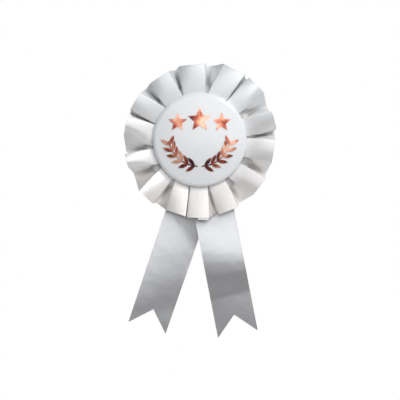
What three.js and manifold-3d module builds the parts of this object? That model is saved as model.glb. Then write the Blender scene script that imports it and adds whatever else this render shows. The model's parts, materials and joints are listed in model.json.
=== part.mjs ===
// An award ribbon: a button badge on a ring of box-pleated satin ribbon, with two swallowtail ends below
// it and a bar pin behind it. Millimetres, +Z up. Its face looks along -Y, and the origin is the middle
// of the pin's stem, where the pin goes through the cloth that the ribbon hangs on.
import * as THREE from "three";
import { mergeVertices } from "three/addons/utils/BufferGeometryUtils.js";
import Module from "manifold-3d";

const wasm = await Module();
wasm.setup();

// ---- Driving dimensions ----

const GAP = 0.3; // left between pieces that touch
const SEGMENTS = 48; // round a turned piece

// The badge: a stock 58 mm button.
const BADGE_RADIUS = 29;
const DOME_RADIUS = 180;
const SHOULDER_RADIUS = 2.6;
const SHOULDER_RISE = 1.6; // from the badge's rear to the middle of its shoulder's curve
const SKIN = { thickness: 0.2, gap: 0.1 }; // of each layer of the badge's face
const SHELL_THICKNESS = 0.3;
const COLLET = { radius: 27.3, rim: 2.3, thickness: 0.3, rimThickness: 0.4 };
const FOIL = { thickness: 0.15, gap: 0.15 };

// The ribbon: 25 mm satin.
const RIBBON_WIDTH = 25;
const RIBBON_THICKNESS = 0.4;
const LAYER = RIBBON_THICKNESS + GAP; // from one layer of ribbon to the next

// The cards that hold it together.
const BACKING = { radius: 26, thickness: 1, rearRings: [17, 23] }; // rearRings divide its rear face
const BASE = { radius: 30, thickness: 0.8 };
const PAD_RADIUS = 21.5;
const TAIL_TAPE = { width: 20, height: 12, thickness: 0.2 };
const THREAD = { radius: 0.2, ringRadius: 24.5 };

// The rosette's box pleats, counted anticlockwise from the one right of the bottom pleat. root and tip
// are the angles in degrees at which a pleat leaves the gathering and ends; reach is its outer edge.
const PLEATS = [
  { root: -68.3, tip: -68.0, reach: 47.3 },
  { root: -41.5, tip: -38.5, reach: 46.8 },
  { root: -9.9, tip: -8.9, reach: 45.9 },
  { root: 15.4, tip: 14.9, reach: 47.3 },
  { root: 44.0, tip: 43.1, reach: 48.6 },
  { root: 67.5, tip: 63.7, reach: 48.2 },
  { root: 97.0, tip: 95.5, reach: 46.1 },
  { root: 123.8, tip: 123.0, reach: 45.6 },
  { root: 148.8, tip: 149.2, reach: 46.1 },
  { root: 174.5, tip: 169.5, reach: 46.3 },
  { root: 200.7, tip: 195.8, reach: 46.9 },
  { root: 225.7, tip: 227.0, reach: 48.4 },
  { root: 248.0, tip: 252.0, reach: 47.5 },
  { root: 268.8, tip: 268.7, reach: 48.1 },
];
const PLEAT = {
  width: 12.4, // of the panel that faces forward
  gatherRadius: 23, // the ring's inner edge
  backReach: 45.5, // the recessed panels' outer edge
  rootUnder: 0.8, // how far a flap folds under its panel at the gathering, as a share of half the panel
  tipUnder: 1.8, // the same at the outer edge, in millimetres
  clearance: 0.45, // from a panel's fold to the line midway to its neighbour
  flareStart: 0.28, // share of the way out where the panels start to rise
  flare: 4.4,
  crown: 0.2,
  lapExtra: 1.3, // how far the strip's first end shows past the pleat that laps it
};

// The tails hang from one point below the badge's centre. lean is from straight down towards +X, the
// rises are where each tail swells forward and falls back along its length, measured from that point.
const TAIL_ROOT = { x: 2.7, up: -12.6 };
const TAIL_TOP = -8;
const TAIL_TIP = 109.3;
const TAIL_NOTCH = 97;
const TAIL_HINGE = 48.2;
const TAILS = {
  left: { lean: -18.8, crest: 6.8, end: 2.4, rise: [34, 58], fall: [66, 100], curl: 1.4 },
  right: { lean: 11.0, crest: 8.6, end: 4.4, rise: [34, 60], fall: [64, 92], curl: 0.6 },
};
const TAIL_CURL = [98, 110];

// The bar pin.
const PIN_RISE = 8; // of the stem above the badge's centre
const PIN_STANDOFF = 4.2; // from the stem's middle to the backing disc
const PIN_BAR = { length: 32, height: 5, thickness: 0.6 };
const PIN_TAPE = { length: 30, height: 5, thickness: 0.4 };
const HINGE_X = -13.5;
const EAR = { inner: 1.2, outer: 1.8, halfWidth: 1.7, rear: 1.3, hole: 0.9 };
const RIVET = { shaft: 0.6, head: 1.1, headThickness: 0.4 };
const STEM = { radius: 0.45, tipRadius: 0.08, tip: 15.8, taper: 4, eye: 1.5, eyeHole: 0.9, eyeHeight: 1.6 };
const HOUSING = { left: 12.3, right: 14.7, inner: 1.75, outer: 2.35, pedestal: 1.2 };
const CATCH = { left: 11.4, right: 15.6, bore: 0.8, barrel: 1.4, collar: 2.2, collarWidth: 0.6, tab: 3.6 };
const SLOT = 0.75; // half the width of the slot that lets the stem in

// ---- Depths, forward from the backing disc's rear face ----

const LEFT_TAIL_DEPTH = BACKING.thickness + GAP + RIBBON_THICKNESS / 2;
const RIGHT_TAIL_DEPTH = LEFT_TAIL_DEPTH + LAYER;
const TAPE_DEPTH = RIGHT_TAIL_DEPTH + RIBBON_THICKNESS / 2 + GAP;
const BASE_DEPTH = TAPE_DEPTH + TAIL_TAPE.thickness + GAP;
const THREAD_DEPTH = BASE_DEPTH + BASE.thickness + GAP + THREAD.radius;
const PLEAT_BACK = THREAD_DEPTH + THREAD.radius + GAP + RIBBON_THICKNESS / 2;
const PLEAT_FRONT = PLEAT_BACK + 2 * LAYER;
const BADGE_DEPTH = PLEAT_FRONT + PLEAT.crown / 2 + RIBBON_THICKNESS / 2 + GAP;
const PAD_DEPTH = BASE_DEPTH + BASE.thickness + GAP;
const SHOULDER_DEPTH = BADGE_DEPTH + SHOULDER_RISE;

// ---- Materials ----

const material = (color, roughness, metalness = 0) =>
  new THREE.MeshStandardMaterial({ color, roughness, metalness });
const satin = material(0xe6e5e6, 0.42);
const film = material(0xe1e3e6, 0.12);
const paper = material(0xf2f1ee, 0.9);
const card = material(0xefece4, 0.85);
const foam = material(0xf4f4f0, 0.95);
const tape = material(0xd8c9a6, 0.6);
const thread = material(0xf0eeea, 0.8);
const foil = material(0xb4725c, 0.25, 1);
const tinplate = material(0xb9bcc0, 0.35, 1);
const nickel = material(0xc4c6c8, 0.25, 1);

// ---- Geometry helpers ----

const { lerp, smoothstep, degToRad } = THREE.MathUtils;

// A closed geometry as a manifold-3d solid.
function solidOf(geometry) {
  const bare = geometry.clone();
  bare.deleteAttribute("normal");
  bare.deleteAttribute("uv");
  const merged = mergeVertices(bare, 1e-4);
  return new wasm.Manifold(
    new wasm.Mesh({
      numProp: 3,
      vertProperties: new Float32Array(merged.attributes.position.array),
      triVerts: new Uint32Array(merged.index.array),
    }),
  );
}

function geometryOf(solid) {
  const mesh = solid.getMesh();
  const geometry = new THREE.BufferGeometry();
  geometry.setAttribute("position", new THREE.BufferAttribute(new Float32Array(mesh.vertProperties), 3));
  geometry.setIndex(new THREE.BufferAttribute(new Uint32Array(mesh.triVerts), 1));
  const flat = geometry.toNonIndexed();
  flat.computeVertexNormals();
  return flat;
}

// The first geometry joined with the ones in add and cut by the ones in cut.
function combine(first, add, cut = []) {
  let solid = solidOf(first);
  for (const geometry of add) solid = solid.add(solidOf(geometry));
  for (const geometry of cut) solid = solid.subtract(solidOf(geometry));
  return geometryOf(solid);
}

// A box from its lowest to its highest corner.
function box([x0, y0, z0], [x1, y1, z1]) {
  const geometry = new THREE.BoxGeometry(x1 - x0, y1 - y0, z1 - z0);
  return geometry.translate((x0 + x1) / 2, (y0 + y1) / 2, (z0 + z1) / 2);
}

// A profile of [radius, depth] points turned about the depth axis, which is the geometry's +Z.
function turned(profile, segments = SEGMENTS) {
  const points = profile.map(([radius, depth]) => new THREE.Vector2(radius, depth));
  return new THREE.LatheGeometry(points, segments).rotateX(Math.PI / 2);
}

function disc(radius, back, front, rings = []) {
  const steps = rings.map((ring) => [ring, back]);
  return turned([[0, back], ...steps, [radius, back], [radius, front], [0, front]]);
}

// A closed sheet of ribbon from rows of middle points, each a pair of a point and half its thickness as a
// vector to the front.
function ribbonSheet(rows) {
  const columns = rows[0].length;
  const positions = [];
  for (const side of [1, -1]) {
    for (const row of rows) {
      for (const { point, half } of row) positions.push(...point.clone().addScaledVector(half, side));
    }
  }
  const back = rows.length * columns;
  const at = (row, column) => row * columns + column;
  const faces = [];
  const quad = (a, b, c, d) => faces.push(a, b, c, a, c, d);
  for (let row = 0; row + 1 < rows.length; row++) {
    for (let column = 0; column + 1 < columns; column++) {
      const corners = [at(row, column), at(row + 1, column), at(row + 1, column + 1), at(row, column + 1)];
      quad(...corners);
      quad(...corners.map((corner) => corner + back).reverse());
    }
  }
  const rim = [];
  for (let row = 0; row < rows.length; row++) rim.push(at(row, 0));
  for (let column = 1; column < columns; column++) rim.push(at(rows.length - 1, column));
  for (let row = rows.length - 2; row >= 0; row--) rim.push(at(row, columns - 1));
  for (let column = columns - 2; column > 0; column--) rim.push(at(0, column));
  rim.forEach((corner, index) => {
    const next = rim[(index + 1) % rim.length];
    quad(next, corner, corner + back, next + back);
  });
  const geometry = new THREE.BufferGeometry();
  geometry.setAttribute("position", new THREE.Float32BufferAttribute(positions, 3));
  geometry.setIndex(faces);
  geometry.computeVertexNormals();
  return geometry;
}

// ---- The badge ----

// The face's outer surface, moved inwards by inset: a shallow dome, then a tight shoulder that turns
// under at the back. Points run from the middle of the face outwards.
const SHOULDER_RING = BADGE_RADIUS - SHOULDER_RADIUS;
const DOME_ANGLE = Math.asin(SHOULDER_RING / (DOME_RADIUS - SHOULDER_RADIUS));
const DOME_CENTRE = SHOULDER_DEPTH - (DOME_RADIUS - SHOULDER_RADIUS) * Math.cos(DOME_ANGLE);
const DOME_STEPS = 3;
const SHOULDER_STEPS = 5;
const SHOULDER_END = degToRad(125);

function facePoints(inset) {
  const points = [];
  for (let step = 0; step <= DOME_STEPS; step++) {
    const angle = (DOME_ANGLE * step) / DOME_STEPS;
    const radius = DOME_RADIUS - inset;
    points.push([radius * Math.sin(angle), DOME_CENTRE + radius * Math.cos(angle)]);
  }
  for (let step = 1; step <= SHOULDER_STEPS; step++) {
    const angle = lerp(DOME_ANGLE, SHOULDER_END, step / SHOULDER_STEPS);
    const radius = SHOULDER_RADIUS - inset;
    points.push([SHOULDER_RING + radius * Math.sin(angle), SHOULDER_DEPTH + radius * Math.cos(angle)]);
  }
  return points;
}

function faceLayer(inset, thickness) {
  return turned([...facePoints(inset + thickness), ...facePoints(inset).reverse()]);
}

function domeDepth(radius) {
  return DOME_CENTRE + Math.sqrt(DOME_RADIUS ** 2 - radius ** 2);
}

function badgeBack() {
  const { radius, rim, thickness, rimThickness } = COLLET;
  return turned([
    [0, BADGE_DEPTH],
    [radius, BADGE_DEPTH],
    [radius, BADGE_DEPTH + rim],
    [radius - rimThickness, BADGE_DEPTH + rim],
    [radius - rimThickness, BADGE_DEPTH + thickness],
    [0, BADGE_DEPTH + thickness],
  ]);
}

// ---- The foil mark: three stars over a pair of laurel sprays ----

const STAR_WAIST = 0.45; // a star's inner corners, as a share of its radius
const STARS = {
  foil_star_left: { x: -13.5, up: 10.5, radius: 6 },
  foil_star_centre: { x: 0, up: 12, radius: 7.6 },
  foil_star_right: { x: 13.5, up: 10.5, radius: 6 },
};
const SPRAY = {
  centreUp: 3,
  radius: 19.5,
  start: -86,
  end: -12,
  leaves: 6, // pairs
  firstPair: 0.35, // how far up the stem the first pair grows, as a share of a pair's spacing
  leaf: 6.8,
  leafHalf: 1.15,
  turns: [-0.66, 0.72], // how far a pair's leaves turn off the stem, in radians
  stem: 0.4,
};

// Lays a flat outline on the badge's dome: every point moves out to the dome's depth.
function foilOnDome(geometry) {
  const position = geometry.attributes.position;
  for (let index = 0; index < position.count; index++) {
    const radius = Math.hypot(position.getX(index), position.getY(index));
    position.setZ(index, position.getZ(index) + domeDepth(radius) + FOIL.gap);
  }
  geometry.computeVertexNormals();
  return geometry;
}

function foilOutline(shape) {
  return new THREE.ExtrudeGeometry(shape, { depth: FOIL.thickness, bevelEnabled: false, curveSegments: 4 });
}

function star({ x, up, radius }) {
  const shape = new THREE.Shape();
  for (let corner = 0; corner < 10; corner++) {
    const reach = corner % 2 ? radius * STAR_WAIST : radius;
    const angle = degToRad(90 + 36 * corner);
    const point = [x + reach * Math.cos(angle), up + reach * Math.sin(angle)];
    if (corner) shape.lineTo(...point);
    else shape.moveTo(...point);
  }
  return foilOnDome(foilOutline(shape));
}

function leaf(x, up, direction) {
  const shape = new THREE.Shape();
  shape.moveTo(0, 0);
  shape.quadraticCurveTo(SPRAY.leaf / 2, 2 * SPRAY.leafHalf, SPRAY.leaf, 0);
  shape.quadraticCurveTo(SPRAY.leaf / 2, -2 * SPRAY.leafHalf, 0, 0);
  return foilOutline(shape).rotateZ(direction).translate(x, up, 0);
}

// The right-hand spray; side -1 mirrors it.
function spray(side) {
  const { centreUp, radius, stem } = SPRAY;
  const [start, end] = [degToRad(SPRAY.start), degToRad(SPRAY.end)];
  const place = (angle) => [side * radius * Math.cos(angle), centreUp + radius * Math.sin(angle)];
  const band = new THREE.Shape();
  band.absarc(0, centreUp, radius + stem, start, end, false);
  band.absarc(0, centreUp, radius - stem, end, start, true);
  const stemGeometry = new THREE.ExtrudeGeometry(band, {
    depth: FOIL.thickness,
    bevelEnabled: false,
    curveSegments: 12,
  });
  const leaves = [];
  for (let index = 0; index < SPRAY.leaves; index++) {
    const angle = lerp(start, end, (index + SPRAY.firstPair) / SPRAY.leaves);
    for (const turn of SPRAY.turns) {
      const along = angle + Math.PI / 2 + turn;
      leaves.push(leaf(...place(angle), side > 0 ? along : Math.PI - along));
    }
  }
  const mirrored = side > 0 ? stemGeometry : geometryOf(solidOf(stemGeometry).mirror([1, 0, 0]));
  return foilOnDome(combine(mirrored, leaves));
}

// ---- The pleated rosette ----

const polar = (radius, degrees) =>
  new THREE.Vector3(radius * Math.cos(degToRad(degrees)), radius * Math.sin(degToRad(degrees)), 0);

// Half a panel's width towards its neighbour at share k of the way out: the full half width, or what the
// gathering leaves.
function halfWidth(pleat, neighbour, k) {
  const radius = lerp(PLEAT.gatherRadius, pleat.reach, k);
  const pitch = Math.abs(lerp(pleat.root - neighbour.root, pleat.tip - neighbour.tip, k));
  const room = (degToRad(pitch) / 2) * radius - PLEAT.clearance;
  return Math.min(PLEAT.width / 2, room);
}

// A point of a pleat: k is the share of the way out, offset is across the panel in millimetres.
function pleatPoint(pleat, reach, k, offset, depth) {
  const root = polar(PLEAT.gatherRadius, pleat.root);
  const tip = polar(pleat.reach, pleat.tip);
  const outward = tip.clone().sub(root).normalize();
  const across = new THREE.Vector3(-outward.y, outward.x, 0);
  const point = root.lerp(tip.multiplyScalar(reach / pleat.reach), k).addScaledVector(across, offset);
  return point.setZ(depth);
}

function frontDepth(k) {
  const rise = Math.max(0, (k - PLEAT.flareStart) / (1 - PLEAT.flareStart));
  return PLEAT_FRONT + PLEAT.flare * rise;
}

// One side of a box pleat, from its recessed neighbour up to its fold: side is -1 or +1.
function flapPoints(pleat, neighbour, side, k) {
  const half = halfWidth(pleat, neighbour, k);
  const under = lerp(PLEAT.rootUnder * half, PLEAT.tipUnder, k);
  const inner = side * (half - under);
  const outer = side * half;
  return [
    pleatPoint(pleat, PLEAT.backReach, k, inner, PLEAT_BACK),
    pleatPoint(pleat, PLEAT.backReach, k, inner, PLEAT_BACK + LAYER),
    pleatPoint(pleat, pleat.reach, k, outer, frontDepth(k) - LAYER),
    pleatPoint(pleat, pleat.reach, k, outer, frontDepth(k)),
  ];
}

// The strip's section at share k of the way out: it starts under the bottom pleat, goes once round, and
// ends on top of its own start.
function stripSection(k) {
  const last = PLEATS.length - 1;
  const lap = PLEATS[last];
  const lapReach = lap.reach + PLEAT.lapExtra;
  const nextToLap = { ...PLEATS[0], root: PLEATS[0].root + 360, tip: PLEATS[0].tip + 360 };
  const lapHalf = halfWidth(lap, nextToLap, k);
  const section = [
    pleatPoint(lap, lapReach, k, 0, frontDepth(k) - LAYER),
    pleatPoint(lap, lapReach, k, lapHalf, frontDepth(k) - LAYER),
    pleatPoint(lap, PLEAT.backReach, k, lapHalf, PLEAT_BACK),
  ];
  PLEATS.forEach((pleat, index) => {
    const before = index ? PLEATS[index - 1] : { root: lap.root - 360, tip: lap.tip - 360 };
    const after = index < last ? PLEATS[index + 1] : nextToLap;
    section.push(...flapPoints(pleat, before, -1, k));
    section.push(pleatPoint(pleat, pleat.reach, k, 0, frontDepth(k) + PLEAT.crown * k));
    if (index < last) section.push(...flapPoints(pleat, after, 1, k).reverse());
    else section.push(pleatPoint(pleat, pleat.reach, k, lapHalf, frontDepth(k)));
  });
  return section;
}

// Half the ribbon's thickness at each point of a section, mitred at the folds.
function sectionHalves(section) {
  const normals = [];
  for (let index = 0; index + 1 < section.length; index++) {
    const along = section[index + 1].clone().sub(section[index]).normalize();
    const outward = section[index].clone().setZ(0).normalize();
    normals.push(outward.cross(along).normalize());
  }
  return section.map((point, index) => {
    const before = normals[Math.max(0, index - 1)];
    const after = normals[Math.min(normals.length - 1, index)];
    const mitre = before.clone().add(after).divideScalar(1 + before.dot(after));
    return mitre.multiplyScalar(RIBBON_THICKNESS / 2);
  });
}

function rosettePleats() {
  const stations = [0, PLEAT.flareStart, 0.64, 1];
  const rows = stations.map((k) => {
    const section = stripSection(k);
    const halves = sectionHalves(section);
    return section.map((point, index) => ({ point, half: halves[index] }));
  });
  return ribbonSheet(rows);
}

function gatheringThread() {
  const { radius, ringRadius } = THREAD;
  const profile = [];
  for (let step = 0; step <= 6; step++) {
    const angle = (Math.PI * step) / 3;
    profile.push([ringRadius + radius * Math.cos(angle), THREAD_DEPTH + radius * Math.sin(angle)]);
  }
  return turned(profile);
}

// ---- The tails ----

function tailDepth(name, along) {
  const tail = TAILS[name];
  const start = name === "left" ? LEFT_TAIL_DEPTH : RIGHT_TAIL_DEPTH;
  const rise = (tail.crest - start) * smoothstep(along, ...tail.rise);
  const fall = (tail.crest - tail.end) * smoothstep(along, ...tail.fall);
  return start + rise - fall + tail.curl * smoothstep(along, ...TAIL_CURL);
}

function tailPoint(name, along, across) {
  const lean = degToRad(TAILS[name].lean);
  const x = TAIL_ROOT.x + along * Math.sin(lean) + across * Math.cos(lean);
  const up = TAIL_ROOT.up - along * Math.cos(lean) + across * Math.sin(lean);
  return new THREE.Vector3(x, up, tailDepth(name, along));
}

// A stretch of a tail from start to end along it; notched ends it in the swallowtail.
function tailStretch(name, start, end, steps, notched) {
  const half = new THREE.Vector3(0, 0, RIBBON_THICKNESS / 2);
  const rows = [];
  for (let step = 0; step <= steps; step++) {
    const row = [];
    for (const share of [-1, -0.5, 0, 0.5, 1]) {
      const last = notched ? lerp(TAIL_NOTCH, TAIL_TIP, Math.abs(share)) : end;
      const along = lerp(start, last, step / steps);
      row.push({ point: tailPoint(name, along, (share * RIBBON_WIDTH) / 2), half });
    }
    rows.push(row);
  }
  return ribbonSheet(rows);
}

const tailTop = (name) => tailStretch(name, TAIL_TOP, TAIL_HINGE - GAP, 12, false);
const tailEnd = (name) => tailStretch(name, TAIL_HINGE + GAP, TAIL_TIP, 14, true);

// ---- The bar pin, in the part's own axes: +Y is the back, and the stem lies on the X axis ----

const BAR_REAR = -PIN_STANDOFF + GAP + PIN_TAPE.thickness + GAP + PIN_BAR.thickness;

// A round bar along X, centred on the stem's axis.
function barAlongX(radius, left, right, segments = 20) {
  const geometry = new THREE.CylinderGeometry(radius, radius, right - left, segments);
  return geometry.rotateZ(Math.PI / 2).translate((left + right) / 2, 0, 0);
}

// A round bar along Z, centred on the rivet's axis.
function barAtRivet(radius, halfHeight, segments = 20) {
  const geometry = new THREE.CylinderGeometry(radius, radius, 2 * halfHeight, segments);
  return geometry.rotateX(Math.PI / 2).translate(HINGE_X, 0, 0);
}

const stemSlot = (left, right) => box([left, 0, -SLOT], [right, 2 * CATCH.collar, SLOT]);

function pinBar() {
  const { length, height, thickness } = PIN_BAR;
  const front = BAR_REAR - thickness;
  const plate = box([-length / 2, front, -height / 2], [length / 2, BAR_REAR, height / 2]);
  const earRoot = BAR_REAR - thickness / 2;
  const ears = [-1, 1].map((side) => {
    const [low, high] = [side * EAR.inner, side * EAR.outer].sort((a, b) => a - b);
    return box([HINGE_X - EAR.halfWidth, earRoot, low], [HINGE_X + EAR.halfWidth, EAR.rear, high]);
  });
  const { left, right, inner, outer, pedestal } = HOUSING;
  const ring = barAlongX(outer, left, right);
  const foot = box([left, earRoot, -pedestal], [right, -lerp(inner, outer, 0.5), pedestal]);
  const bore = barAlongX(inner, left - 1, right + 1);
  const slot = stemSlot(left - 1, right + 1);
  return combine(plate, [...ears, ring, foot], [barAtRivet(EAR.hole, height), bore, slot]);
}

function pinRivet() {
  const headStart = EAR.outer + GAP;
  const headEnd = headStart + RIVET.headThickness;
  const profile = [
    [0, -headEnd],
    [RIVET.head, -headEnd],
    [RIVET.head, -headStart],
    [RIVET.shaft, -headStart],
    [RIVET.shaft, headStart],
    [RIVET.head, headStart],
    [RIVET.head, headEnd],
    [0, headEnd],
  ];
  return turned(profile, 20).translate(HINGE_X, 0, 0);
}

function pinStem() {
  const start = HINGE_X + lerp(STEM.eyeHole, STEM.eye, 0.5);
  const shoulder = STEM.tip - STEM.taper;
  const profile = [
    [0, start],
    [STEM.radius, start],
    [STEM.radius, shoulder],
    [STEM.tipRadius, STEM.tip],
    [0, STEM.tip],
  ];
  const wire = turned(profile, 12).rotateY(Math.PI / 2);
  const eye = barAtRivet(STEM.eye, STEM.eyeHeight / 2);
  return combine(eye, [wire], [barAtRivet(STEM.eyeHole, STEM.eyeHeight)]);
}

// The catch's slot faces back at rest, so the stem can leave it; its thumb tab hangs down.
function safetyCatch() {
  const { left, right, bore, barrel, collar, collarWidth, tab } = CATCH;
  const body = barAlongX(barrel, left, right);
  const outerCollar = right - collarWidth;
  const collars = [barAlongX(collar, left, left + collarWidth), barAlongX(collar, outerCollar, right)];
  const thumb = box([outerCollar, -SLOT, -tab], [right, SLOT, -lerp(bore, barrel, 0.5)]);
  const cuts = [barAlongX(bore, left - 1, right + 1), stemSlot(left - 1, right + 1)];
  return combine(body, [...collars, thumb], cuts);
}

// ---- Assembly ----

function named(name, geometry, surface) {
  const mesh = new THREE.Mesh(geometry, surface);
  mesh.name = name;
  return mesh;
}

// The pieces from the backing disc forward: x right, y up, z forward from the disc's rear face, with the
// badge's centre at the origin.
function ribbonGroup() {
  const group = new THREE.Group();
  const printInset = SKIN.thickness + SKIN.gap;
  const shellInset = 2 * printInset;
  group.add(
    named("badge_film", faceLayer(0, SKIN.thickness), film),
    named("badge_print", faceLayer(printInset, SKIN.thickness), paper),
    named("badge_shell", faceLayer(shellInset, SHELL_THICKNESS), tinplate),
    named("badge_back", badgeBack(), tinplate),
    named("badge_pad", disc(PAD_RADIUS, PAD_DEPTH, BADGE_DEPTH - GAP), foam),
    named("foil_laurel_left", spray(-1), foil),
    named("foil_laurel_right", spray(1), foil),
    named("rosette_pleats", rosettePleats(), satin),
    named("gathering_thread", gatheringThread(), thread),
    named("base_disc", disc(BASE.radius, BASE_DEPTH, BASE_DEPTH + BASE.thickness), card),
    named("backing_disc", disc(BACKING.radius, 0, BACKING.thickness, BACKING.rearRings), card),
    named("tail_left_top", tailTop("left"), satin),
    named("tail_right_top", tailTop("right"), satin),
    named("tail_left", tailEnd("left"), satin),
    named("tail_right", tailEnd("right"), satin),
  );
  for (const [name, place] of Object.entries(STARS)) group.add(named(name, star(place), foil));
  const { width, height, thickness } = TAIL_TAPE;
  const strip = new THREE.BoxGeometry(width, height, thickness);
  const tailTape = named("tail_tape", strip, tape);
  tailTape.position.set(TAIL_ROOT.x, TAIL_ROOT.up, TAPE_DEPTH + thickness / 2);
  group.add(tailTape);
  group.rotation.x = Math.PI / 2;
  group.position.set(0, -PIN_STANDOFF, -PIN_RISE);
  return group;
}

function pinGroup() {
  const group = new THREE.Group();
  const { length, height, thickness } = PIN_TAPE;
  const pinTape = named("pin_tape", new THREE.BoxGeometry(length, thickness, height), foam);
  pinTape.position.y = -PIN_STANDOFF + GAP + thickness / 2;
  group.add(
    pinTape,
    named("pin_bar", pinBar(), nickel),
    named("pin_rivet", pinRivet(), nickel),
    named("pin_stem", pinStem(), nickel),
    named("safety_catch", safetyCatch(), nickel),
  );
  return group;
}

const awardRibbon = new THREE.Group();
awardRibbon.name = "award_ribbon";
awardRibbon.add(ribbonGroup(), pinGroup());

export default awardRibbon;
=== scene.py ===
"""The looks of a satin award ribbon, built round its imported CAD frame.

Blender units are metres. The ribbon's own measures are in millimetres from the middle of the backing
disc's rear face: x to the right, up, and forward, which is the way the badge faces. place() turns them
into a point of the frame.
"""
import json
import math
from dataclasses import dataclass

import bmesh
import bpy
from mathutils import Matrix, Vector, noise


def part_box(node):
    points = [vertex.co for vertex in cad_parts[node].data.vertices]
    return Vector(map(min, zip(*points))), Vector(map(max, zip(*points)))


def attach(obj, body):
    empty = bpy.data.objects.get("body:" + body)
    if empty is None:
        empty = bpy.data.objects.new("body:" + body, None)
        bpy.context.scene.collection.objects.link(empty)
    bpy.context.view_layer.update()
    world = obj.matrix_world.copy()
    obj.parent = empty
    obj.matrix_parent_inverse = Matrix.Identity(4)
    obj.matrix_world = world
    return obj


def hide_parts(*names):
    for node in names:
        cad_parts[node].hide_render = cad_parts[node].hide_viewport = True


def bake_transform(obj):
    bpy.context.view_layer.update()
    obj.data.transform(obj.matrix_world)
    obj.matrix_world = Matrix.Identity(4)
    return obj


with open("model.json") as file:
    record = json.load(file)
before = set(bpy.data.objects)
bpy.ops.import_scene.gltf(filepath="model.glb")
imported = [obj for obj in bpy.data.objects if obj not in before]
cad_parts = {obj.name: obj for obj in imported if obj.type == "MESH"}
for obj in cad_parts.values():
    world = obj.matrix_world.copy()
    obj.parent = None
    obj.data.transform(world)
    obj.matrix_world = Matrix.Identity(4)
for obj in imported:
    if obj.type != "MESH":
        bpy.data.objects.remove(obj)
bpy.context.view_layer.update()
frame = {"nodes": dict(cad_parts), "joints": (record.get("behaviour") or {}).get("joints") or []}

MM = 0.001

# ---- Places taken from the frame ----

film_low, film_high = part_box("badge_film")
backing_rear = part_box("backing_disc")[1].y
CENTRE_X = (film_low.x + film_high.x) / 2
CENTRE_Z = (film_low.z + film_high.z) / 2
JOINTS = {joint["name"]: joint for joint in frame["joints"]}


def place(x, up, forward):
    """A point given in millimetres in the ribbon's own measures, as a point of the frame."""
    return Vector((CENTRE_X + x * MM, backing_rear - forward * MM, CENTRE_Z + up * MM))


def forward_of(y):
    """How far forward of the backing disc's rear face a place of the frame lies, in millimetres."""
    return (backing_rear - y) / MM


# ---- Driving dimensions, in millimetres ----

RIBBON_WIDTH = 25.0
SATIN = 0.25  # the ribbon's thickness
LAYER = 0.7  # from one folded layer to the next
BADGE_RADIUS = (film_high.x - film_low.x) / 2 / MM
BADGE_FRONT = forward_of(film_low.y)
BACK_LAYER = forward_of(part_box("gathering_thread")[0].y) + 0.5
FRONT_LAYER = BACK_LAYER + 2 * LAYER


# ---- Mesh helpers ----

def mesh_object(name, bm, smooth=True):
    """A new object from a bmesh, smooth or flat shaded."""
    mesh = bpy.data.meshes.new(name)
    for face in bm.faces:
        face.smooth = smooth
    bm.to_mesh(mesh)
    bm.free()
    piece = bpy.data.objects.new(name, mesh)
    bpy.context.scene.collection.objects.link(piece)
    return piece


def ribbon_surface(name, rows, uvs):
    """A sheet of ribbon through rows of points. uvs holds (across, along) in millimetres for each point."""
    bm = bmesh.new()
    layer = bm.loops.layers.uv.new("cloth")
    grid = [[bm.verts.new(point) for point in row] for row in rows]
    for row in range(len(rows) - 1):
        for column in range(len(rows[0]) - 1):
            corners = [(row, column), (row, column + 1), (row + 1, column + 1), (row + 1, column)]
            face = bm.faces.new([grid[r][c] for r, c in corners])
            for loop, (r, c) in zip(face.loops, corners):
                loop[layer].uv = uvs[r][c]
    return mesh_object(name, bm)


def apply_modifiers(piece):
    """Makes the piece's modifiers part of its mesh, with its cut edges sharp."""
    graph = bpy.context.evaluated_depsgraph_get()
    made = bpy.data.meshes.new_from_object(piece.evaluated_get(graph))
    piece.modifiers.clear()
    piece.data = made
    made.set_sharp_from_angle(angle=math.radians(75))


def thicken(piece, thickness):
    """Gives a sheet its thickness, half to each side."""
    solid = piece.modifiers.new("thickness", "SOLIDIFY")
    solid.thickness = thickness * MM
    solid.offset = 0
    apply_modifiers(piece)


def turned(name, profile, segments=128):
    """A closed profile of (radius, forward) points turned round the badge's axis."""
    bm = bmesh.new()
    rings = []
    for radius, forward in profile:
        if radius < 1e-6:
            rings.append([bm.verts.new(place(0, 0, forward))])
            continue
        turn = [2 * math.pi * step / segments for step in range(segments)]
        rings.append([bm.verts.new(place(radius * math.cos(a), radius * math.sin(a), forward)) for a in turn])
    for lower, upper in zip(rings, rings[1:] + rings[:1]):
        if len(lower) == 1 and len(upper) == 1:
            continue
        for step in range(segments):
            after = (step + 1) % segments
            corners = [lower[step % len(lower)], lower[after % len(lower)]]
            corners += [upper[after % len(upper)], upper[step % len(upper)]]
            bm.faces.new(list(dict.fromkeys(corners)))
    bmesh.ops.recalc_face_normals(bm, faces=bm.faces)
    return mesh_object(name, bm)


# ---- The pleated rosette ----

@dataclass
class Pleat:
    """One box pleat. badge and edge are the angles in degrees of its two folds at the badge's rim and at
    the outer edge; reach is the outer edge's radius; roll is how far each side droops at the outer edge;
    tilt brings its second side forward, and crown bows it. The valley after it is deepest at dip, a share
    of the way to the next pleat, and drop is how much further back it is there than at the gathering."""
    badge: tuple
    edge: tuple
    reach: float
    roll: tuple = (0.1, 0.1)
    tilt: float = 0.0
    crown: float = 0.6
    dip: float = 0.5
    drop: float = 2.6


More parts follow.
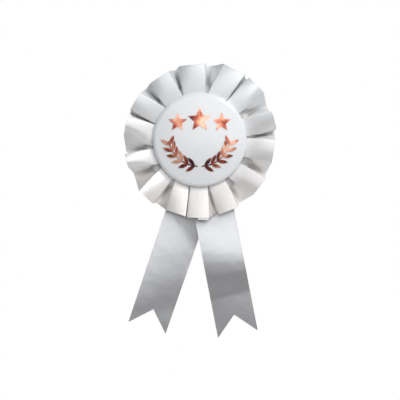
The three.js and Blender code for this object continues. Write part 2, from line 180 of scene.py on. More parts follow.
PLEATS = [
    Pleat((-79.0, -57.5), (-75.5, -60.5), 47.3, dip=0.12, drop=1.4),
    Pleat((-53.0, -30.0), (-46.0, -31.0), 46.8, roll=(1.6, 0.1), dip=0.2),
    Pleat((-21.7, 2.0), (-17.3, -0.5), 45.9, crown=1.0, dip=0.85),
    Pleat((3.7, 27.0), (8.3, 21.5), 47.3, tilt=1.2, roll=(0.6, 0.1), dip=0.32),
    Pleat((33.0, 55.0), (36.5, 51.6), 48.4, roll=(1.6, 0.1), tilt=-0.9, dip=0.85),
    Pleat((55.6, 80.0), (54.9, 72.6), 48.2, crown=0.4, tilt=-0.8, dip=0.85),
    Pleat((83.0, 110.6), (86.0, 105.0), 46.1, roll=(0.1, 0.9), dip=0.35),
    Pleat((111.4, 136.5), (115.0, 131.0), 45.6, roll=(0.1, 0.9), dip=0.4),
    Pleat((137.3, 160.4), (142.3, 156.0), 46.1, roll=(0.1, 0.8), dip=0.4),
    Pleat((161.2, 188.0), (162.0, 177.0), 46.3, roll=(0.1, 3.6), crown=1.9, tilt=-0.3, dip=0.85),
    Pleat((190.5, 211.0), (190.8, 200.8), 46.9, roll=(0.1, 1.8), tilt=1.3, dip=0.3),
    Pleat((216.0, 235.5), (220.2, 233.8), 48.4, tilt=-1.4, crown=0.8, dip=0.12),
    Pleat((238.5, 257.4), (244.4, 259.6), 47.5, tilt=1.0, dip=0.5),
    Pleat((258.2, 279.6), (260.8, 276.6), 48.1, dip=0.88, drop=1.0),
]
GATHER_RADIUS = 23.0
RIM_RADIUS = 29.8  # where the pleats come out from under the badge
RIM_SHARE = 0.28  # how far that is along a pleat
BACK_REACH = 45.9
ROOT_UNDER = 0.38  # how far a flap runs under its panel at the gathering, as a share of the panel
VALLEY_RECESS = 1.4  # the most that a valley's outer edge is set in from its neighbours'
VALLEY_OPEN = 0.3  # how far past the rim the tucks have opened into valleys
VALLEY_SLANT = 0.65  # how straight a valley's sides are, from 0 to 1
FLARE = 4.4
FLARE_BEND = 2.1  # how much steeper than their chord the pleats leave the badge
LAP_EXTRA = 1.2
PLEAT_ROWS = 26
PANEL_STEPS = 18
VALLEY_STEPS = 52
SOFTNESS = 0.24  # how far along the strip its folds are softened


def polar(radius, degrees):
    """The (x, up) point at that radius and angle from the badge's axis."""
    angle = math.radians(degrees)
    return Vector((radius * math.cos(angle), radius * math.sin(angle), 0))


def fold_point(root, edge, reach, share, forward):
    """A point of a fold line that runs straight out to the badge's rim and on to the outer edge."""
    if share <= RIM_SHARE:
        point = polar(GATHER_RADIUS + (RIM_RADIUS - GATHER_RADIUS) * share / RIM_SHARE, root)
    else:
        point = polar(RIM_RADIUS, root).lerp(polar(reach, edge), past_rim(share))
    point.z = forward
    return point


def past_rim(share):
    """How far from the badge's rim to the outer edge, from 0 to 1."""
    return max(0.0, (share - RIM_SHARE) / (1 - RIM_SHARE))


def smoothstep(value, low, high):
    """0 below low, 1 above high, and smooth between them."""
    t = min(1.0, max(0.0, (value - low) / (high - low)))
    return t * t * (3 - 2 * t)


def resampled(points, steps):
    """The same line with its length shared out evenly over that many steps."""
    lengths = [(after - before).length for before, after in zip(points, points[1:])]
    total = sum(lengths)
    made = [points[0]]
    walked = 0.0
    index = 0
    for step in range(1, steps):
        target = total * step / steps
        while walked + lengths[index] < target:
            walked += lengths[index]
            index += 1
        made.append(points[index].lerp(points[index + 1], (target - walked) / lengths[index]))
    return made + [points[-1]]


def softened(points, softness):
    """The same line with its corners rounded, by averaging over that distance along it."""
    made = [points[0]]
    reach = 3 * softness
    for index in range(1, len(points) - 1):
        total = Vector((0, 0, 0))
        weights = 0.0
        for step in (-1, 1):
            distance = 0.0
            other = index
            while 0 < other < len(points) - 1 and distance < reach:
                ahead = points[other + step]
                length = (ahead - points[other]).length
                weight = math.exp(-0.5 * ((distance + length / 2) / softness) ** 2) * length
                total += (ahead + points[other]) / 2 * weight
                weights += weight
                distance += length
                other += step
        made.append(total / weights)
    return made + [points[-1]]


def corner(pleat, side, share):
    """The fold at one side of a pleat's panel; side is -1 or 1."""
    index = 0 if side < 0 else 1
    reach = pleat.reach / math.cos(math.radians((pleat.edge[1] - pleat.edge[0]) / 2))
    out = past_rim(share)
    flare = FLARE * (FLARE_BEND - (FLARE_BEND - 1) * out)
    forward = FRONT_LAYER + (flare + pleat.tilt * side - pleat.roll[index]) * out
    return fold_point(pleat.badge[index], pleat.edge[index], reach, share, forward)


def panel(pleat, share):
    """The points across a pleat's front, from fold to fold: bowed, and drooping towards a rolled side."""
    start = corner(pleat, -1, share)
    end = corner(pleat, 1, share)
    out = past_rim(share)
    points = []
    for step in range(PANEL_STEPS + 1):
        across = 0.5 - 0.5 * math.cos(math.pi * step / PANEL_STEPS)
        point = start.lerp(end, across)
        droop = pleat.roll[0] * max(0.0, 1 - 2 * across) ** 2 + pleat.roll[1] * max(0.0, 2 * across - 1) ** 2
        line = pleat.roll[0] * (1 - across) + pleat.roll[1] * across
        point.z += pleat.crown * share * 4 * across * (1 - across) + (line - droop) * out
        points.append(point)
    return points


def tuck(before, after, share):
    """The folded ribbon between two panels where it is gathered: under the first panel, across the
    recessed layer and back out from under the second."""
    points = [corner(before, 1, share)]
    for pleat, side in ((before, 1), (after, -1)):
        index = 0 if side < 0 else 1
        span = pleat.badge[1] - pleat.badge[0]
        root = pleat.badge[index] - side * ROOT_UNDER * span
        levels = [BACK_LAYER + LAYER, BACK_LAYER]
        folded = [fold_point(root, pleat.edge[index], BACK_REACH, share, level) for level in levels]
        points += folded if side > 0 else folded[::-1]
    points.append(corner(after, -1, share))
    return resampled(points, VALLEY_STEPS)


DROP_SPAN = (0.03, 0.3)  # a valley's bottom sinks over this part of the way out from the rim
WAVE_APART = 3.7  # keeps one valley's random wave apart from the next
WAVE_TURNS = 2.5
WAVE_RISE = 0.9  # in millimetres


def valley(before, after, share, seed):
    """The open ribbon between two panels at the outer edge: down one side of a valley and up the other."""
    start = corner(before, 1, share)
    end = corner(after, -1, share)
    out = past_rim(share)
    bottom = BACK_LAYER - before.drop * smoothstep(out, *DROP_SPAN)
    inward = min(VALLEY_RECESS, (start.xy.length + end.xy.length) / 2 - BACK_REACH)
    outward = (start + end).xy.normalized().to_3d()
    points = []
    for step in range(4 * VALLEY_STEPS + 1):
        t = step / (4 * VALLEY_STEPS)
        bend = before.dip if t < before.dip else 1 - before.dip
        turn = t / bend if t < before.dip else (1 - t) / bend
        depth = VALLEY_SLANT * turn + (1 - VALLEY_SLANT) * math.sin(math.pi / 2 * turn)
        point = start.lerp(end, t)
        spot = Vector((seed * WAVE_APART, t * WAVE_TURNS, 0.0))
        wave = noise.noise(spot) * math.sin(math.pi * t)
        point.z += (bottom - point.z) * depth + WAVE_RISE * wave * out
        points.append(point - outward * inward * depth * out)
    return resampled(points, VALLEY_STEPS)


def between(before, after, share, seed):
    """The ribbon between two panels, tucked at the gathering and opening into a valley further out."""
    opened = smoothstep(past_rim(share), 0, VALLEY_OPEN)
    pairs = zip(tuck(before, after, share), valley(before, after, share, seed))
    return [folded.lerp(free, opened) for folded, free in pairs]


def strip_section(share):
    """The strip's section at that share of the way out: it starts under the bottom pleat, goes once round
    and ends on top of its own start."""
    lap = PLEATS[-1]
    under = [point - Vector((0, 0, LAYER)) for point in panel(lap, share)]
    longer = 1 + LAP_EXTRA / lap.reach * share
    half = PANEL_STEPS // 2
    section = [Vector((point.x * longer, point.y * longer, point.z)) for point in under[half:]]
    for index, pleat in enumerate(PLEATS):
        section += between(PLEATS[index - 1], pleat, share, index)[1:-1]
        section += panel(pleat, share)
    return softened(section, SOFTNESS)


def rosette_ribbon():
    """The pleated strip as one piece, and its real length in millimetres."""
    shares = [row / PLEAT_ROWS for row in range(PLEAT_ROWS + 1)]
    sections = [strip_section(share) for share in shares]
    outer = sections[-1]
    along = [0.0]
    for before, after in zip(outer, outer[1:]):
        along.append(along[-1] + (after - before).length)
    rows = []
    uvs = []
    for share, section in zip(shares, sections):
        rows.append([place(*point) for point in section])
        uvs.append([(share * RIBBON_WIDTH, length) for length in along])
    piece = ribbon_surface("rosette_ribbon", rows, uvs)
    thicken(piece, SATIN)
    return piece, along[-1]


# ---- The tails ----

@dataclass
class Tail:
    """One tail, measured along its length from its hinge. start is how far forward its rear end lies;
    slopes are (place, degrees) pairs, where the ribbon heads forward by so many degrees; skew is how far
    down its right side these come for each step across, at its top and at its tip; twist turns its lower
    end, and cup bows it across."""
    side: str
    start: float
    slopes: tuple
    skew: tuple
    twist: float
    cup: float


HINGE = 48.2  # from the tails' common root to their hinges
TAIL_TOP = -8.0 - HINGE
TAIL_TIP = 109.3 - HINGE
TAIL_NOTCH = 97.0 - HINGE
BASE_END = -31.0  # where the tails come out from under the base disc
TAIL_ROWS = 110
TAIL_COLUMNS = 20
LEFT_SLOPES = (
    (-31, 0), (-14, 0.5), (-7, 0.5), (1, 4.5), (10, 5),
    (22, 4), (36, 1.3), (46, -1.3), (52, -6), (63, -2.5),
)
RIGHT_SLOPES = (
    (-31, 0), (-14, 6), (0, 8), (7, 6.5), (13, 2),
    (20, -1.5), (27, -8.5), (33, -8.5), (38, -0.4), (63, -0.9),
)
TAILS = [
    Tail("left", 1.5, LEFT_SLOPES, (0.55, -0.4), -16.0, 0.5),
    Tail("right", 2.2, RIGHT_SLOPES, (0.2, -0.15), 5.0, 0.3),
]


def slope_at(tail, along):
    """The tangent of the tail's forward slope at that place."""
    for (low, before), (high, after) in zip(tail.slopes, tail.slopes[1:]):
        if low <= along <= high:
            return math.tan(math.radians(before + (after - before) * smoothstep(along, low, high)))
    return 0.0


def tail_forwards(tail, step=0.5):
    """How far forward the tail's middle line is at each step from its rear end to past its tip."""
    forwards = [tail.start]
    count = math.ceil((TAIL_TIP - TAIL_TOP) / step) + 1
    for index in range(count):
        forwards.append(forwards[-1] + slope_at(tail, TAIL_TOP + (index + 0.5) * step) * step)
    return forwards


def tail_ribbon(tail):
    """One whole tail, from under the rosette to its swallowtail end."""
    joint = JOINTS[f"tail_{tail.side}_swing"]
    hinge = Vector(joint["pos_m"])
    across_way = -Vector(joint["axis"]).normalized()
    down = Vector((across_way.z, 0, -across_way.x))
    step = 0.5
    forwards = tail_forwards(tail, step)
    rows = []
    uvs = []
    for row in range(TAIL_ROWS + 1):
        points = []
        places = []
        for column in range(TAIL_COLUMNS + 1):
            side = 2 * column / TAIL_COLUMNS - 1
            tip = TAIL_NOTCH + (TAIL_TIP - TAIL_NOTCH) * abs(side)
            along = TAIL_TOP + (tip - TAIL_TOP) * row / TAIL_ROWS
            across = side * RIBBON_WIDTH / 2
            turn = math.radians(tail.twist) * smoothstep(along, BASE_END, TAIL_TIP)
            cup = tail.cup * (1 - side * side) * smoothstep(along, -10, 12)
            skew = tail.skew[0] + (tail.skew[1] - tail.skew[0]) * smoothstep(along, 0, TAIL_NOTCH)
            bent = max(along - across * skew * smoothstep(along, BASE_END, 0), TAIL_TOP) - TAIL_TOP
            index = min(int(bent / step), len(forwards) - 2)
            part = bent / step - index
            forward = forwards[index] * (1 - part) + forwards[index + 1] * part
            forward += across * math.sin(turn) + cup
            point = hinge + down * along * MM + across_way * across * math.cos(turn) * MM
            point.y = backing_rear - forward * MM
            points.append(point)
            places.append((across + RIBBON_WIDTH / 2, along - TAIL_TOP))
        rows.append(points)
        uvs.append(places)
    piece = ribbon_surface(f"tail_{tail.side}_ribbon", rows, uvs)
    thicken(piece, SATIN)
    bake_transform(piece)
    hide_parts(f"tail_{tail.side}", f"tail_{tail.side}_top")
    return piece


# ---- The badge ----

SHOULDER_RADIUS = 2.6
DOME_RADIUS = 180.0
SHOULDER_END = math.radians(125)
SHOULDER_RING = BADGE_RADIUS - SHOULDER_RADIUS
DOME_ANGLE = math.asin(SHOULDER_RING / (DOME_RADIUS - SHOULDER_RADIUS))
DOME_CENTRE = BADGE_FRONT - DOME_RADIUS
SHOULDER_FORWARD = DOME_CENTRE + (DOME_RADIUS - SHOULDER_RADIUS) * math.cos(DOME_ANGLE)
FILM = 0.15


def face_profile(inset, dome_steps=24, shoulder_steps=18):
    """The badge's face from its middle to its turned-under rim, moved inwards by inset."""
    points = []
    for step in range(dome_steps + 1):
        angle = DOME_ANGLE * step / dome_steps
        radius = DOME_RADIUS - inset
        points.append((radius * math.sin(angle), DOME_CENTRE + radius * math.cos(angle)))
    for step in range(1, shoulder_steps + 1):
        angle = DOME_ANGLE + (SHOULDER_END - DOME_ANGLE) * step / shoulder_steps
        radius = SHOULDER_RADIUS - inset
        points.append((SHOULDER_RING + radius * math.sin(angle), SHOULDER_FORWARD + radius * math.cos(angle)))
    return points


def badge_face():
    """The clear film over the printed paper."""
    piece = turned("badge_face", face_profile(FILM) + face_profile(0)[::-1], 160)
    return stand_in(piece, "badge_film")


# ---- The cards, pad, tapes and thread behind the badge ----

CARD_ROUND = 0.25  # the radius of a die-cut card's edge
FOAM_ROUND = 0.5
FOAM_BULGE = 0.35
THREAD_RADIUS = 0.2
ARC_STEPS = 5


def stand_in(piece, node, body="rosette"):
    """Puts a fine piece in the place of its CAD node, on the body it moves with."""
    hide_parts(node)
    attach(piece, body)
    return piece


def node_size(node):
    """A disc node's radius and its rear and front, in millimetres."""
    low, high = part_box(node)
    return (high.x - low.x) / 2 / MM, forward_of(high.y), forward_of(low.y)


def disc_profile(radius, rear, front, rounding, bulge=0.0, rings=12):
    """A disc's section from the middle of its rear to the middle of its front, with rounded edges and a
    side that swells by bulge."""
    inner = radius - rounding - bulge
    points = [(inner * ring / rings, rear) for ring in range(rings)]
    for middle, start in ((rear + rounding, -90), (front - rounding, 0)):
        for step in range(ARC_STEPS + 1):
            angle = math.radians(start + 90 * step / ARC_STEPS)
            points.append((inner + rounding * math.cos(angle), middle + rounding * math.sin(angle)))
    points += [(inner * ring / rings, front) for ring in range(rings - 1, -1, -1)]
    half = (front - rear) / 2
    swelled = []
    for out, forward in points:
        level = (forward - rear) / half - 1
        swelled.append((out + bulge * (1 - level * level) * smoothstep(out, 0, inner), forward))
    return swelled


def card_disc(node):
    """One of the two round cards, die-cut, with a soft edge."""
    profile = disc_profile(*node_size(node), CARD_ROUND)
    return stand_in(turned(f"{node}_card", profile), node)


def foam_disc():
    """The foam disc that the badge is stuck on, pressed a little fatter at its side."""
    profile = disc_profile(*node_size("badge_pad"), FOAM_ROUND, FOAM_BULGE)
    piece = stand_in(turned("badge_foam", profile), "badge_pad")
    return piece


def foam_strip():
    """The foam tape between the backing disc and the pin's bar: a strip whose sides swell a little."""
    low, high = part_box("pin_tape")
    size = high - low
    bm = bmesh.new()
    bmesh.ops.create_cube(bm, size=1)
    for vertex in bm.verts:
        vertex.co = Vector(axis * length for axis, length in zip(vertex.co, size))
        vertex.co += (low + high) / 2
    piece = mesh_object("pin_foam", bm)
    bevel = piece.modifiers.new("pressed edges", "BEVEL")
    bevel.width = size.y * 0.3
    bevel.segments = 4
    apply_modifiers(piece)
    stand_in(piece, "pin_tape")
    return piece


def sewing_ring():
    """The thread that gathers the rosette."""
    low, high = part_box("gathering_thread")
    ring = (high.x - low.x) / 2 / MM - THREAD_RADIUS
    middle = forward_of((low.y + high.y) / 2)
    profile = []
    for step in range(12):
        angle = math.radians(30 * step)
        profile.append((ring + THREAD_RADIUS * math.cos(angle), middle + THREAD_RADIUS * math.sin(angle)))
    return stand_in(turned("sewing_ring", profile), "gathering_thread")


# ---- The bar pin ----

METAL_ROUND = {"pin_bar": 0.1, "pin_rivet": 0.1, "pin_stem": 0.05, "safety_catch": 0.12}
PIN_BODIES = {
    "pin_bar": "rosette",
    "pin_rivet": "rosette",
    "pin_stem": "pin_stem",
    "safety_catch": "safety_catch",
}


def metal_piece(node):
    """One of the pin's metal parts with its stamped edges rounded and its round faces smooth."""
    source = frame["nodes"][node]
    mesh = source.data.copy()
    mesh.transform(source.matrix_world)
    mesh.materials.clear()
    piece = bpy.data.objects.new(f"{node}_metal", mesh)
    bpy.context.scene.collection.objects.link(piece)
    bevel = piece.modifiers.new("rounded edges", "BEVEL")
    bevel.width = METAL_ROUND[node] * MM
    bevel.segments = 3
    bevel.limit_method = "ANGLE"
    bevel.angle_limit = math.radians(35)
    apply_modifiers(piece)
    for face in piece.data.polygons:
        face.use_smooth = True
    piece.data.set_sharp_from_angle(angle=math.radians(40))
    return stand_in(piece, node, PIN_BODIES[node])


# ---- Materials ----

class Paint:
    """A Principled material with short calls for the nodes that drive it."""

    def __init__(self, name, color, roughness, metallic=0.0, **sockets):
        self.material = bpy.data.materials.new(name)
        self.material.use_nodes = True
        self.tree = self.material.node_tree
        self.shader = self.tree.nodes["Principled BSDF"]
        self.shader.inputs["Base Color"].default_value = (*color, 1)
        self.shader.inputs["Roughness"].default_value = roughness
        self.shader.inputs["Metallic"].default_value = metallic
        for socket, value in sockets.items():
            self.shader.inputs[socket.replace("_", " ")].default_value = value

    def node(self, kind, **settings):
        """A new node. A setting that names an input sets its value or links to it."""
        node = self.tree.nodes.new(kind)
        for name, value in settings.items():
            key = int(name[1:]) if name[0] == "i" and name[1:].isdigit() else name.replace("_", " ")
            if isinstance(key, str) and hasattr(node, name):
                setattr(node, name, value)
            elif isinstance(value, bpy.types.NodeSocket):
                self.tree.links.new(value, node.inputs[key])
            else:
                node.inputs[key].default_value = value
        return node

    def drive(self, socket, output):
        """Links an output to one of the shader's inputs."""
        self.tree.links.new(output, self.shader.inputs[socket])

    def math(self, operation, first, second=0.0, third=0.0):
        """The output of a Math node."""
        return self.node("ShaderNodeMath", operation=operation, i0=first, i1=second, i2=third).outputs[0]

    def scaled(self, source, scale):
        """Coordinates times a scale for each axis."""
        return self.node("ShaderNodeMapping", Vector=source, Scale=scale).outputs[0]

    def noise(self, vector, scale, detail=3.0, roughness=0.5):
        """A noise pattern's value."""
        made = self.node("ShaderNodeTexNoise", Vector=vector, Scale=scale, Detail=detail, Roughness=roughness)
        return made.outputs["Fac"]

    def ramp(self, factor, *stops):
        """A colour ramp through (place, colour) stops."""
        node = self.node("ShaderNodeValToRGB", Fac=factor)
        while len(node.color_ramp.elements) < len(stops):
            node.color_ramp.elements.new(0.5)
        for element, (position, color) in zip(node.color_ramp.elements, stops):
            element.position = position
            element.color = (*color, 1)
        return node.outputs["Color"]

    def bump(self, height, distance, strength=1.0, under=None):
        """A bump whose height is in metres at strength 1, over another bump if one is given."""
        node = self.node("ShaderNodeBump", Height=height, Distance=distance, Strength=strength)
        if under:
            self.tree.links.new(under, node.inputs["Normal"])
        return node.outputs["Normal"]


def shaded(color, share):
    """A colour made that much lighter or darker."""
    return tuple(channel * share for channel in color)


PAINTED_WARM_LIGHT_BELOW = 45.0  # the painted warm light on the satin is strongest this far below the badge's middle, in millimetres
PAINTED_COOL_LIGHT_ABOVE = 30.0  # and the painted cool light this far above it
PAINTED_SHADE_DEPTHS = (6.4, 4.3)  # how far forward the painted shade in the gathered folds starts, and is darkest
PAINTED_SHADE_REACH = (46.0, 34.0)  # the same in distance from the badge's axis
# the dark grey of the painted shade in the gathered folds
FOLD_SHADE_COLOUR = (0.3, 0.29, 0.28, 1)
PICK_SPACING = 0.32  # from one weft thread to the next, in millimetres
WOVEN_EDGE = (0.7, 0.5)  # the woven edge starts and is full this far in from the ribbon's side


def fold_depth(paint, place_in):
    """How deep a point lies in the gathered folds round the badge, from 0 to 1: the mask for the painted
    shade there.
    """
    shallow, deep = (backing_rear - forward * MM for forward in PAINTED_SHADE_DEPTHS)
    back = paint.node("ShaderNodeSeparateXYZ", Vector=place_in).outputs["Y"]
    sunk = paint.node("ShaderNodeMapRange", Value=back, From_Min=shallow, From_Max=deep).outputs["Result"]
    flat = paint.scaled(place_in, (1.0, 0.0, 1.0))
    axis = (CENTRE_X, 0.0, CENTRE_Z)
    distance = paint.node("ShaderNodeVectorMath", operation="DISTANCE", i0=flat, i1=axis).outputs["Value"]
    far, near = (reach * MM for reach in PAINTED_SHADE_REACH)
    close = paint.node("ShaderNodeMapRange", Value=distance, From_Min=far, From_Max=near).outputs["Result"]
    return paint.math("MULTIPLY", sunk, close)


def satin_paint(name, warm, cool, roughness, metallic, anisotropic, painted_fold_shade=0.0):
    """White satin: long warp floats along the ribbon, a faint weft across it, and a woven edge. Its white is
    tinted with painted light, warm low on the object and cool high on it, and it carries painted shade down
    in the gathered folds."""
    paint = Paint(name, warm, roughness, metallic=metallic, Anisotropic=anisotropic)
    cloth = paint.node("ShaderNodeUVMap", uv_map="cloth").outputs["UV"]
    split = paint.node("ShaderNodeSeparateXYZ", Vector=cloth).outputs
    floats = paint.noise(paint.scaled(cloth, (7.0, 0.7, 1.0)), 1.0, 2.0)
    picks = paint.math("SINE", paint.math("MULTIPLY", split["Y"], 2 * math.pi / PICK_SPACING))
    from_middle = paint.math("ABSOLUTE", paint.math("SUBTRACT", split["X"], RIBBON_WIDTH / 2))
    edge = paint.node("ShaderNodeMapRange", Value=from_middle,
                      From_Min=RIBBON_WIDTH / 2 - WOVEN_EDGE[0],
                      From_Max=RIBBON_WIDTH / 2 - WOVEN_EDGE[1]).outputs["Result"]
    place_in = paint.node("ShaderNodeTexCoord").outputs["Object"]
    drift = paint.noise(place_in, 90.0, 2.0)
    tone = paint.math("ADD", paint.math("MULTIPLY", floats, 0.5), paint.math("MULTIPLY", drift, 0.5))
    # Painted light: the white is tinted warm low on the object and cool high on it, as tinted light from
    # below and above would tint it.
    height = paint.node("ShaderNodeSeparateXYZ", Vector=place_in).outputs["Z"]
    low, high = CENTRE_Z - PAINTED_WARM_LIGHT_BELOW * MM, CENTRE_Z + PAINTED_COOL_LIGHT_ABOVE * MM
    level = paint.node("ShaderNodeMapRange", Value=height, From_Min=low, From_Max=high).outputs["Result"]
    white = paint.ramp(level, (0.0, warm), (1.0, cool))
    mottle = paint.ramp(tone, (0.3, (0.95, 0.95, 0.95)), (0.7, (1.0, 1.0, 1.0)))
    plain = paint.node("ShaderNodeMix", data_type="RGBA", blend_type="MULTIPLY", i0=1.0, i6=white,
                       i7=mottle).outputs[2]
    woven = paint.node("ShaderNodeMix", data_type="RGBA", i0=paint.math("MULTIPLY", edge, 0.25),
                       i6=plain, i7=(0.72, 0.72, 0.73, 1)).outputs[2]
    # Painted shade: down in the gathered folds by the badge the colour is mixed towards a dark grey.
    folds = paint.math("MULTIPLY", fold_depth(paint, place_in), painted_fold_shade)
    shadowed = paint.node("ShaderNodeMix", data_type="RGBA", i0=folds, i6=woven,
                          i7=FOLD_SHADE_COLOUR).outputs[2]
    paint.drive("Base Color", shadowed)
    soft = paint.bump(paint.noise(place_in, 160.0, 1.5), 0.35 * MM, 0.35)
    threads = paint.bump(paint.math("ADD", floats, paint.math("MULTIPLY", picks, 0.13)), 0.05 * MM, 0.3, soft)
    rim = paint.bump(edge, 0.08 * MM, 0.5, threads)
    paint.drive("Normal", rim)
    tangent = paint.node("ShaderNodeTangent", direction_type="UV_MAP", uv_map="cloth").outputs[0]
    paint.drive("Tangent", tangent)
    return paint.material


def film_paint():
    """Clear gloss film over white paper, drawn as one glossy white surface."""
    paint = Paint("gloss_film", (0.84, 0.85, 0.86), 0.45, Coat_Weight=0.6, Coat_Roughness=0.16)
    place_in = paint.node("ShaderNodeTexCoord").outputs["Object"]
    fibre = paint.noise(place_in, 900.0, 4.0)
    paint.drive("Base Color", paint.ramp(fibre, (0.35, (0.83, 0.84, 0.86)), (0.65, (0.86, 0.87, 0.885))))
    paint.drive("Normal", paint.bump(paint.noise(place_in, 120.0, 2.0), 0.05 * MM, 0.25))
    return paint.material


PAINTED_FOIL_LIGHT_RISE = 0.003  # how much lighter the painted reflection runs for each millimetre up the badge, as painted light from above


def foil_paint():
    """Rose-gold hot foil, with painted reflections of the room in its colour, lighter and darker in places,
    and painted lighter higher up the badge.
    """
    paint = Paint("rose_gold_foil", (0.6, 0.28, 0.2), 0.3, metallic=0.6)
    place_in = paint.node("ShaderNodeTexCoord").outputs["Object"]
    height = paint.node("ShaderNodeSeparateXYZ", Vector=place_in).outputs["Z"]
    painted_light_rise = paint.math("MULTIPLY_ADD", height, PAINTED_FOIL_LIGHT_RISE / MM, -PAINTED_FOIL_LIGHT_RISE / MM * CENTRE_Z)
    painted_reflection = paint.math("ADD", paint.noise(place_in, 110.0, 2.0, 0.5), painted_light_rise)
    # Painted reflection: the foil's colour runs from dark maroon to light peach in place of the room it would
    # reflect.
    color = paint.ramp(painted_reflection, (0.36, (0.075, 0.014, 0.018)), (0.45, (0.30, 0.055, 0.028)),
                       (0.53, (0.55, 0.20, 0.12)), (0.62, (0.78, 0.42, 0.30)))
    paint.drive("Base Color", color)
    grain = paint.noise(place_in, 2600.0, 2.0)
    paint.drive("Roughness", paint.math("MULTIPLY_ADD", grain, 0.2, 0.2))
    paint.drive("Normal", paint.bump(grain, 0.02 * MM, 0.3))
    return paint.material


def card_paint():
    """Uncoated white card with a little fibre."""
    paint = Paint("white_card", (0.84, 0.82, 0.77), 0.85)
    place_in = paint.node("ShaderNodeTexCoord").outputs["Object"]
    fibre = paint.noise(paint.scaled(place_in, (1.0, 1.0, 3.0)), 500.0, 5.0, 0.65)
    paint.drive("Base Color", paint.ramp(fibre, (0.3, (0.80, 0.775, 0.73)), (0.65, (0.86, 0.84, 0.80))))
    paint.drive("Normal", paint.bump(fibre, 0.06 * MM, 0.5))
    return paint.material


def metal_paint(name, color, roughness, scratches=400.0):
    """Plated or rolled metal with fine marks along X."""
    paint = Paint(name, color, roughness, metallic=1.0)
    place_in = paint.node("ShaderNodeTexCoord").outputs["Object"]
    marks = paint.noise(paint.scaled(place_in, (0.15, 1.0, 1.0)), scratches * 8, 3.0)
    cloud = paint.noise(place_in, scratches, 3.0)
    dark = shaded(color, 0.88)
    paint.drive("Base Color", paint.ramp(cloud, (0.3, dark), (0.6, color)))
    paint.drive("Roughness", paint.math("MULTIPLY_ADD", marks, 0.16, roughness - 0.08))
    paint.drive("Normal", paint.bump(marks, 0.002 * MM, 0.1))
    return paint.material


def soft_paint(name, color, roughness, grain, depth):
    """Foam, paper, tape or thread: a dull surface with a grain of that scale."""
    paint = Paint(name, color, roughness)
    place_in = paint.node("ShaderNodeTexCoord").outputs["Object"]
    cells = paint.noise(place_in, grain, 4.0, 0.6)
    dark = shaded(color, 0.88)
    paint.drive("Base Color", paint.ramp(cells, (0.3, dark), (0.6, color)))
    paint.drive("Normal", paint.bump(cells, depth * MM, 0.6))
    return paint.material


def paint_pieces(material, *pieces):
    """Gives each piece that one material."""
    for piece in pieces:
        piece.data.materials.clear()
        piece.data.materials.append(material)


# ---- Studio ----

HALF_VIEW = 123.0  # half of what the picture takes in, across, at the ribbon's depth
LENS = 200.0
SENSOR = 36.0
ROOM_FRONT = 0.12
ROOM_BEHIND = 0.6
ROOM_BRIGHT_WAY = (0.4, 0.8, 0.45)  # the way to the room's brightest side
ROOM_TURNS = (0.0, 0.5)  # where between its dim and bright sides the room changes


def camera():
    """A long lens straight in front, with the badge above the picture's middle."""
    data = bpy.data.cameras.new("camera")
    data.lens = LENS
    data.sensor_width = SENSOR
    data.clip_start = 0.01
    data.clip_end = 20
    eye = bpy.data.objects.new("camera", data)
    aim = place(0.2, -37.1, 8)
    distance = HALF_VIEW * MM / (SENSOR / 2 / LENS)
    eye.location = aim + Vector((0, -distance, 0))
    eye.rotation_euler = (math.radians(90), 0, 0)
    bpy.context.scene.collection.objects.link(eye)
    bpy.context.scene.camera = eye


def area_light(name, turn, height, distance, size, power, color):
    """A soft square light aimed at the ribbon, from that many degrees round from the front and up."""
    data = bpy.data.lights.new(name, "AREA")
    data.size = size
    data.energy = power
    data.color = color
    light = bpy.data.objects.new(name, data)
    level = distance * math.cos(math.radians(height))
    aim = place(0, -30, 5)
    away = Vector((level * math.sin(math.radians(turn)), -level * math.cos(math.radians(turn)), 0))
    light.location = aim + away + Vector((0, 0, distance * math.sin(math.radians(height))))
    light.rotation_euler = (aim - light.location).to_track_quat("-Z", "Y").to_euler()
    light.visible_camera = False
    bpy.context.scene.collection.objects.link(light)


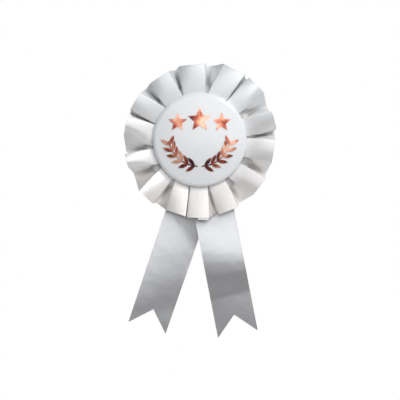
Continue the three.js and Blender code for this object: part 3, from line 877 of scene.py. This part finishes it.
def room():
    """White surroundings: bright behind the ribbon, dim in front, cool above and warm below."""
    world = bpy.data.worlds.new("room")
    world.use_nodes = True
    bpy.context.scene.world = world
    tree = world.node_tree
    nodes = tree.nodes
    direction = nodes.new("ShaderNodeTexCoord")
    split = nodes.new("ShaderNodeSeparateXYZ")
    tree.links.new(direction.outputs["Generated"], split.inputs[0])
    facing = nodes.new("ShaderNodeVectorMath")
    facing.operation = "DOT_PRODUCT"
    facing.inputs[1].default_value = ROOM_BRIGHT_WAY
    tree.links.new(direction.outputs["Generated"], facing.inputs[0])
    depth = nodes.new("ShaderNodeMapRange")
    depth.inputs["From Min"].default_value = ROOM_TURNS[0]
    depth.inputs["From Max"].default_value = ROOM_TURNS[1]
    depth.inputs["To Min"].default_value = ROOM_FRONT
    depth.inputs["To Max"].default_value = ROOM_BEHIND
    depth.interpolation_type = "SMOOTHSTEP"
    tree.links.new(facing.outputs["Value"], depth.inputs["Value"])
    height = nodes.new("ShaderNodeMapRange")
    height.inputs["From Min"].default_value = -1
    tree.links.new(split.outputs["Z"], height.inputs["Value"])
    tint = nodes.new("ShaderNodeValToRGB")
    tint.color_ramp.elements[0].color = (1.0, 0.84, 0.80, 1)
    tint.color_ramp.elements[1].color = (0.86, 0.97, 1.0, 1)
    tree.links.new(height.outputs[0], tint.inputs[0])
    surround = nodes["Background"]
    tree.links.new(tint.outputs[0], surround.inputs["Color"])
    tree.links.new(depth.outputs[0], surround.inputs["Strength"])
    backdrop = nodes.new("ShaderNodeBackground")
    backdrop.inputs["Color"].default_value = (1, 1, 1, 1)
    seen = nodes.new("ShaderNodeLightPath")
    mix = nodes.new("ShaderNodeMixShader")
    tree.links.new(seen.outputs["Is Camera Ray"], mix.inputs[0])
    tree.links.new(surround.outputs[0], mix.inputs[1])
    tree.links.new(backdrop.outputs[0], mix.inputs[2])
    tree.links.new(mix.outputs[0], nodes["World Output"].inputs["Surface"])


FLOOR_RADIUS = 0.8  # in metres, as is the next
FLOOR_BELOW = 0.5
LIGHT_DISTANCE = 1.1  # in metres


def floor():
    """A plain pale floor well below the ribbon."""
    bm = bmesh.new()
    bmesh.ops.create_circle(bm, cap_ends=True, segments=96, radius=FLOOR_RADIUS)
    piece = mesh_object("floor", bm, smooth=False)
    piece.location = (0, 0, CENTRE_Z - FLOOR_BELOW)
    paint_pieces(soft_paint("pale_floor", (0.8, 0.8, 0.79), 0.7, 700.0, 0.05), piece)


def studio():
    """The camera, the room, the floor and the four lamps round the ribbon."""
    scene = bpy.context.scene
    scene.view_settings.view_transform = "Standard"
    camera()
    room()
    floor()
    area_light("key", 8, 20, LIGHT_DISTANCE, 0.8, 5.7, (0.97, 0.98, 1.0))
    area_light("top", 38, 42, LIGHT_DISTANCE, 0.25, 4.6, (1.0, 0.99, 0.97))
    area_light("side", 78, 28, LIGHT_DISTANCE, 0.3, 1.2, (1.0, 1.0, 1.0))
    area_light("rear", 200, 35, LIGHT_DISTANCE, 0.4, 4.5, (1.0, 0.99, 0.98))


# ---- Assembly ----

studio()

# The pleats' satin carries painted warm light low, painted cool light high and painted shade, at 0.8, in its
# gathered folds.
pleat_satin = satin_paint("pleat_satin", (0.985, 0.945, 0.92), (0.935, 0.95, 0.965), 0.55, 0.42, 0.85, 0.8)
tail_satin = satin_paint("tail_satin", (0.79, 0.795, 0.815), (0.8, 0.8, 0.8), 0.46, 0.79, 0.9)
rosette, rosette_length = rosette_ribbon()
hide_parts("rosette_pleats")
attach(rosette, "rosette")
tails = [tail_ribbon(tail) for tail in TAILS]
paint_pieces(pleat_satin, rosette)
paint_pieces(tail_satin, *tails)

paint_pieces(film_paint(), badge_face())

nodes = frame["nodes"]
foil = foil_paint()
for name in nodes:
    if name.startswith("foil_"):
        paint_pieces(foil, nodes[name])
paint_pieces(card_paint(), card_disc("base_disc"), card_disc("backing_disc"))
paint_pieces(metal_paint("tinplate", (0.62, 0.63, 0.65), 0.35), nodes["badge_shell"], nodes["badge_back"])
nickel = metal_paint("nickel_plate", (0.72, 0.71, 0.69), 0.24)
paint_pieces(nickel, *[metal_piece(name) for name in PIN_BODIES])
paint_pieces(soft_paint("white_foam", (0.88, 0.88, 0.85), 0.9, 900.0, 0.15), foam_disc(), foam_strip())
paint_pieces(soft_paint("white_paper", (0.88, 0.88, 0.86), 0.9, 1200.0, 0.03), nodes["badge_print"])
paint_pieces(soft_paint("sewing_thread", (0.86, 0.85, 0.83), 0.8, 2500.0, 0.05), sewing_ring())
paint_pieces(soft_paint("double_sided_tape", (0.72, 0.63, 0.42), 0.5, 700.0, 0.03), nodes["tail_tape"])
